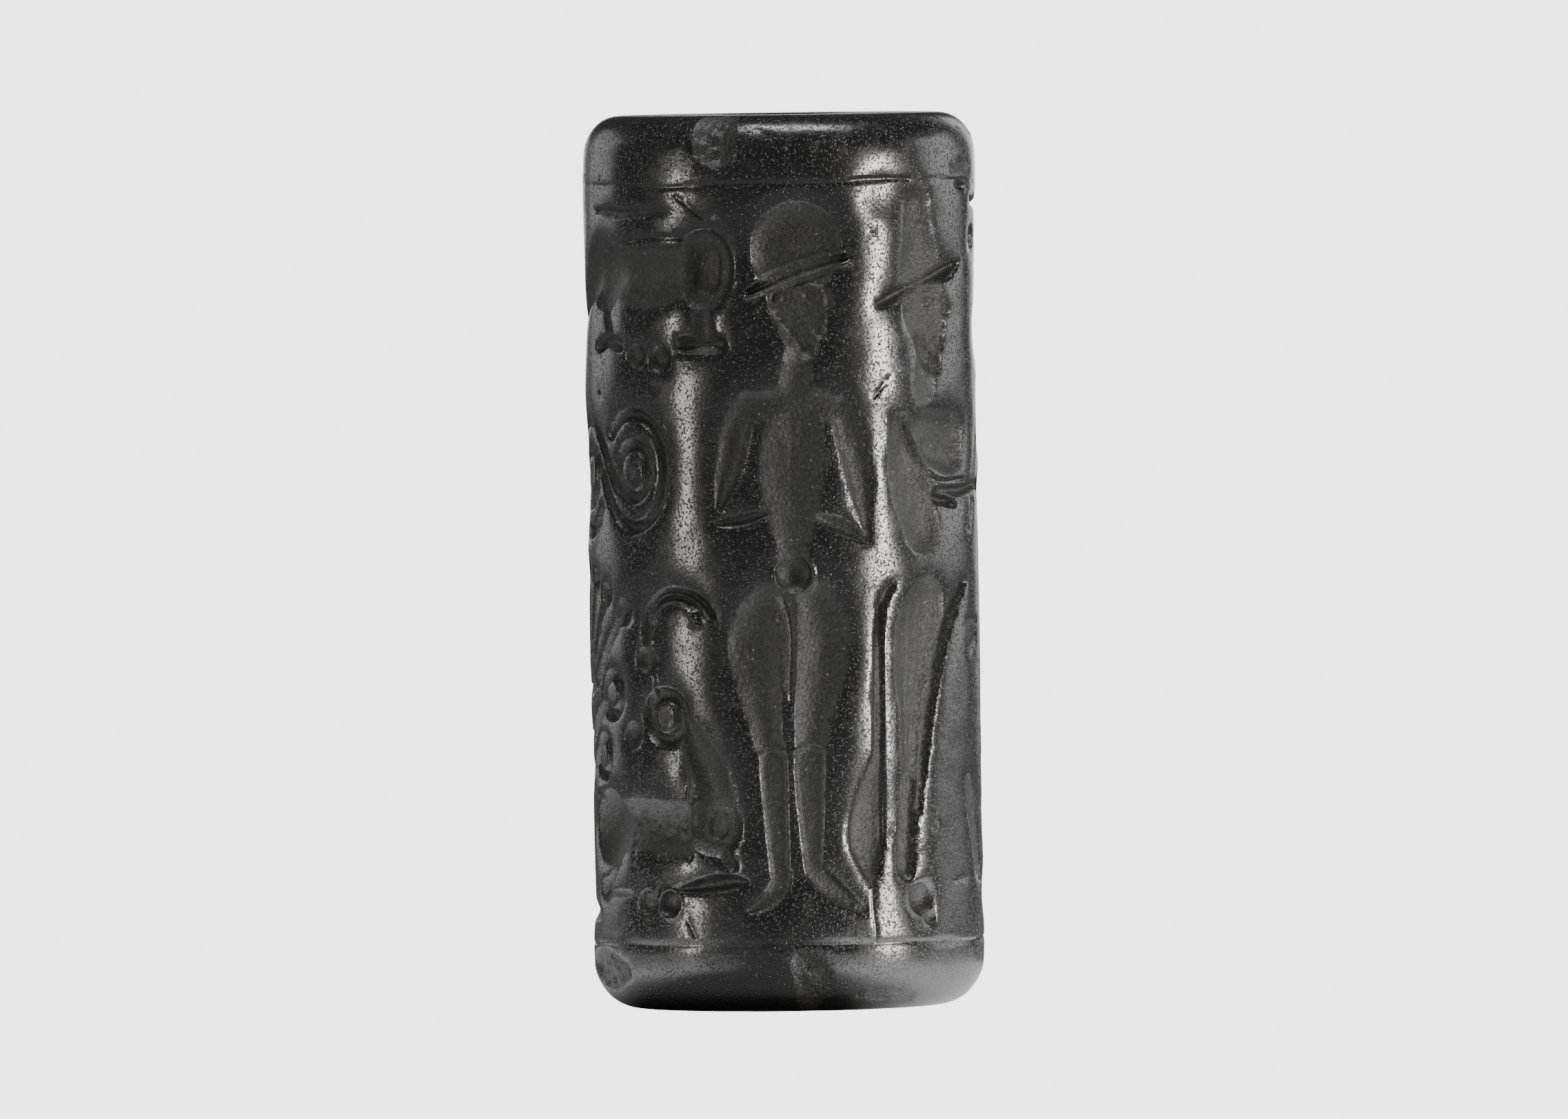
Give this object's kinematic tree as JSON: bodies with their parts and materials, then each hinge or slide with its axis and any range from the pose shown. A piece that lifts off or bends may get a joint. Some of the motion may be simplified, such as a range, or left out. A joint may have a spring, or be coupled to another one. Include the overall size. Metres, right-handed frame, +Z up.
{
  "type": "cylinder seal",
  "caption": "Dark stone cylinder seal, drilled lengthwise for a string and carved all round with a frieze of standing figures, couched goats, a braid and a stylised tree",
  "frame": {"origin": "middle of the lower end, where the axis of the stone meets the surface it stands on", "axes": "+Z up the axis of the stone, -Y towards the front, where the figure in the round cap stands, +X to the right seen from the front"},
  "size_m": [0.012, 0.012, 0.0273],
  "materials": {
    "haematite": "polished dark grey stone, matt in the carved recesses"
  },
  "bodies": {
    "root": {"seal_stone": "haematite"}
  },
  "joints": []
}
